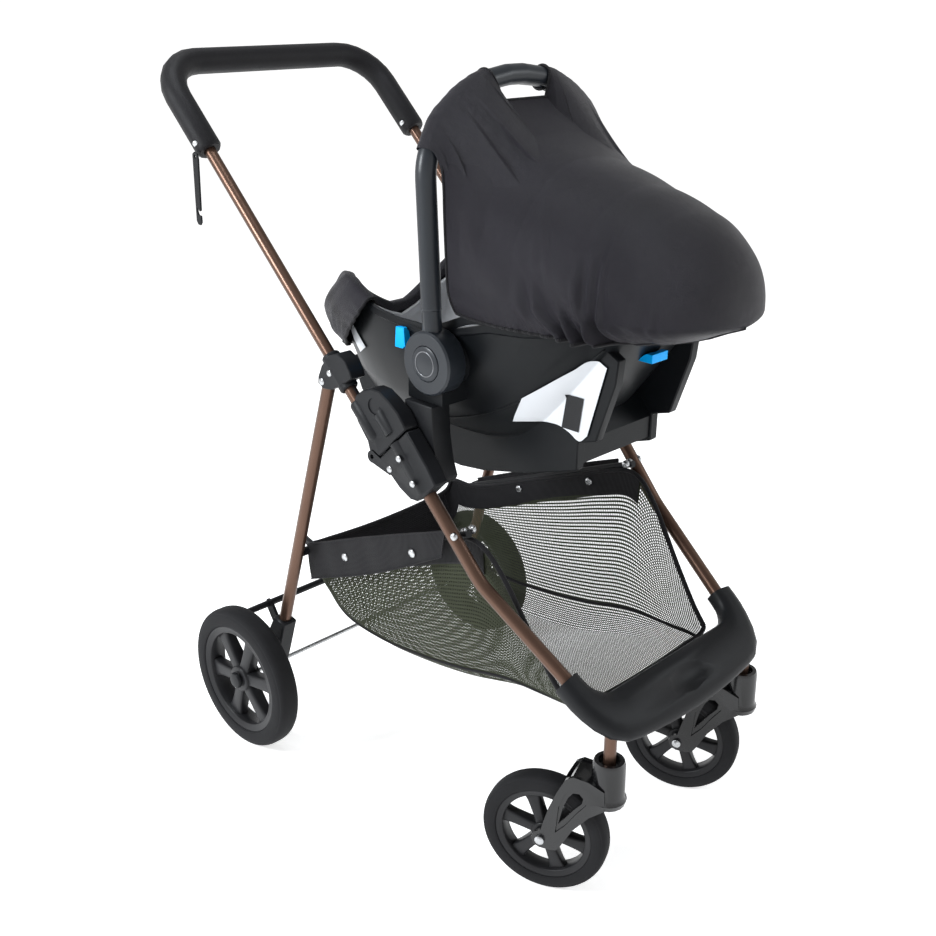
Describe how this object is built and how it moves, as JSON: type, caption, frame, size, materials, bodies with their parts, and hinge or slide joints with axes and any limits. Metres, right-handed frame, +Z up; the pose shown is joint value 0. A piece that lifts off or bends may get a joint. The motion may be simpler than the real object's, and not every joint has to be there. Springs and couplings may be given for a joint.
{
  "type": "travel system stroller",
  "caption": "Folding stroller with swivelling front casters, padded push handle, net basket and brake, carrying a lift-off infant seat with an arched handle and a cloth canopy.",
  "frame": {"origin": "centre of the bounding box on the floor, under the tyres", "axes": "+X to the stroller's left side seen from behind it, -Y the way it rolls forwards, +Z up"},
  "size_m": [0.553, 0.8729, 1.0019],
  "materials": {
    "bronze": "satin metallic bronze",
    "black_plastic": "satin black, fine grain",
    "gloss_plastic": "smooth black, half gloss",
    "leatherette": "soft satin black, stitched seam",
    "steel": "bare satin steel",
    "tyre": "matte dark grey foam tyre",
    "rim": "satin black moulded",
    "blue": "bright blue, half gloss",
    "nylon": "charcoal woven nylon with a light sheen",
    "net": "pale sage open net with black bands",
    "liner": "soft white knit, lightly padded",
    "webbing": "black woven webbing",
    "red": "red, half gloss"
  },
  "bodies": {
    "front_frame": {"front_tube": "bronze", "footrest": "black_plastic", "caster_stem_right": "bronze", "caster_stem_left": "bronze", "hinge_lower_right": "black_plastic", "hinge_lower_left": "black_plastic", "adaptor_right": "black_plastic", "adaptor_left": "black_plastic"},
    "push_handle": {"push_tube": "bronze", "handle_grip": "leatherette", "hinge_upper_right": "black_plastic", "hinge_upper_left": "black_plastic", "leg_bracket_right": "black_plastic", "leg_bracket_left": "black_plastic"},
    "fold_strap": {"fold_strap": "black_plastic"},
    "rear_frame": {"rear_leg_right": "bronze", "rear_leg_left": "bronze", "axle_housing_right": "black_plastic", "axle_housing_left": "black_plastic", "rear_axle": "steel"},
    "side_bars": {"side_bar_right": "black_plastic", "side_bar_left": "black_plastic", "basket": "net", "basket_band_right": "nylon", "basket_band_left": "nylon"},
    "brake": {"brake_bar": "black_plastic"},
    "carrier": {"carrier_shell": "black_plastic", "belt_guide_right": "blue", "belt_guide_left": "blue", "belt_guide_head": "blue", "seat_liner": "liner", "harness_strap_right": "webbing", "harness_strap_left": "webbing", "buckle": "black_plastic", "foot_cover": "nylon", "canopy": "nylon"},
    "carry_handle": {"carry_handle": "gloss_plastic"},
    "buckle_button": {"buckle_button": "red"},
    "rear_wheel_right": {"rear_rim_right": "rim", "rear_tyre_right": "tyre", "rear_hub_cap_right": "black_plastic"},
    "caster_right": {"caster_fork_right": "gloss_plastic", "front_axle_right": "steel"},
    "front_wheel_right": {"front_rim_right": "rim", "front_tyre_right": "tyre"},
    "handle_button_right": {"handle_button_right": "black_plastic"},
    "rear_wheel_left": {"rear_rim_left": "rim", "rear_tyre_left": "tyre", "rear_hub_cap_left": "black_plastic"},
    "caster_left": {"caster_fork_left": "gloss_plastic", "front_axle_left": "steel"},
    "front_wheel_left": {"front_rim_left": "rim", "front_tyre_left": "tyre"},
    "handle_button_left": {"handle_button_left": "black_plastic"}
  },
  "joints": [
    {"name": "frame_fold", "type": "hinge", "parent": "front_frame", "child": "push_handle", "pos_m": [0, -0.0245, 0.52], "axis": [1, 0, 0], "range_deg": [-133, 0]},
    {"name": "rear_leg_fold", "type": "hinge", "parent": "push_handle", "child": "rear_frame", "pos_m": [0, 0.0675, 0.602], "axis": [1, 0, 0], "range_deg": [0, 101]},
    {"name": "side_bar_fold", "type": "hinge", "parent": "front_frame", "child": "side_bars", "pos_m": [0, -0.1655, 0.446], "axis": [1, 0, 0], "range_deg": [-57, 0], "deforming": ["basket"]},
    {"name": "brake_pedal", "type": "hinge", "parent": "rear_frame", "child": "brake", "pos_m": [0, 0.2015, 0.152], "axis": [1, 0, 0], "range_deg": [-16, 0]},
    {"name": "fold_strap_pivot", "type": "hinge", "parent": "push_handle", "child": "fold_strap", "pos_m": [-0.213, 0.3107, 0.8688], "axis": [1, 0, 0], "range_deg": [0, 60]},
    {"name": "carrier_lift", "type": "slide", "parent": "front_frame", "child": "carrier", "axis": [0, 0, 1], "range_m": [0, 0.15]},
    {"name": "carry_handle_turn", "type": "hinge", "parent": "carrier", "child": "carry_handle", "pos_m": [0, -0.099, 0.6565], "axis": [1, 0, 0], "range_deg": [0, 90], "deforming": ["canopy"]},
    {"name": "buckle_release", "type": "slide", "parent": "carrier", "child": "buckle_button", "axis": [0, 0, -1], "range_m": [0, 0.0035], "stiffness_N_per_m": 600},
    {"name": "rear_wheel_spin_right", "type": "hinge", "parent": "rear_frame", "child": "rear_wheel_right", "pos_m": [-0.253, 0.2145, 0.11], "axis": [1, 0, 0], "continuous": true},
    {"name": "caster_swivel_right", "type": "hinge", "parent": "front_frame", "child": "caster_right", "pos_m": [-0.149, -0.3955, 0.19], "axis": [0, 0, 1], "continuous": true},
    {"name": "front_wheel_spin_right", "type": "hinge", "parent": "caster_right", "child": "front_wheel_right", "pos_m": [-0.17771, -0.32298, 0.084], "axis": [0.9298, 0.3681, 0], "continuous": true},
    {"name": "handle_button_press_right", "type": "slide", "parent": "carry_handle", "child": "handle_button_right", "axis": [1, 0, 0], "range_m": [0, 0.0035], "stiffness_N_per_m": 600},
    {"name": "rear_wheel_spin_left", "type": "hinge", "parent": "rear_frame", "child": "rear_wheel_left", "pos_m": [0.253, 0.2145, 0.11], "axis": [1, 0, 0], "continuous": true},
    {"name": "caster_swivel_left", "type": "hinge", "parent": "front_frame", "child": "caster_left", "pos_m": [0.149, -0.3955, 0.19], "axis": [0, 0, 1], "continuous": true},
    {"name": "front_wheel_spin_left", "type": "hinge", "parent": "caster_left", "child": "front_wheel_left", "pos_m": [0.12029, -0.32298, 0.084], "axis": [0.9298, 0.3681, 0], "continuous": true},
    {"name": "handle_button_press_left", "type": "slide", "parent": "carry_handle", "child": "handle_button_left", "axis": [-1, 0, 0], "range_m": [0, 0.0035], "stiffness_N_per_m": 600}
  ],
  "couplings": [
    {"joint": "rear_leg_fold", "follows": "frame_fold", "ratio": -0.75},
    {"joint": "side_bar_fold", "follows": "frame_fold", "ratio": 0.424}
  ]
}
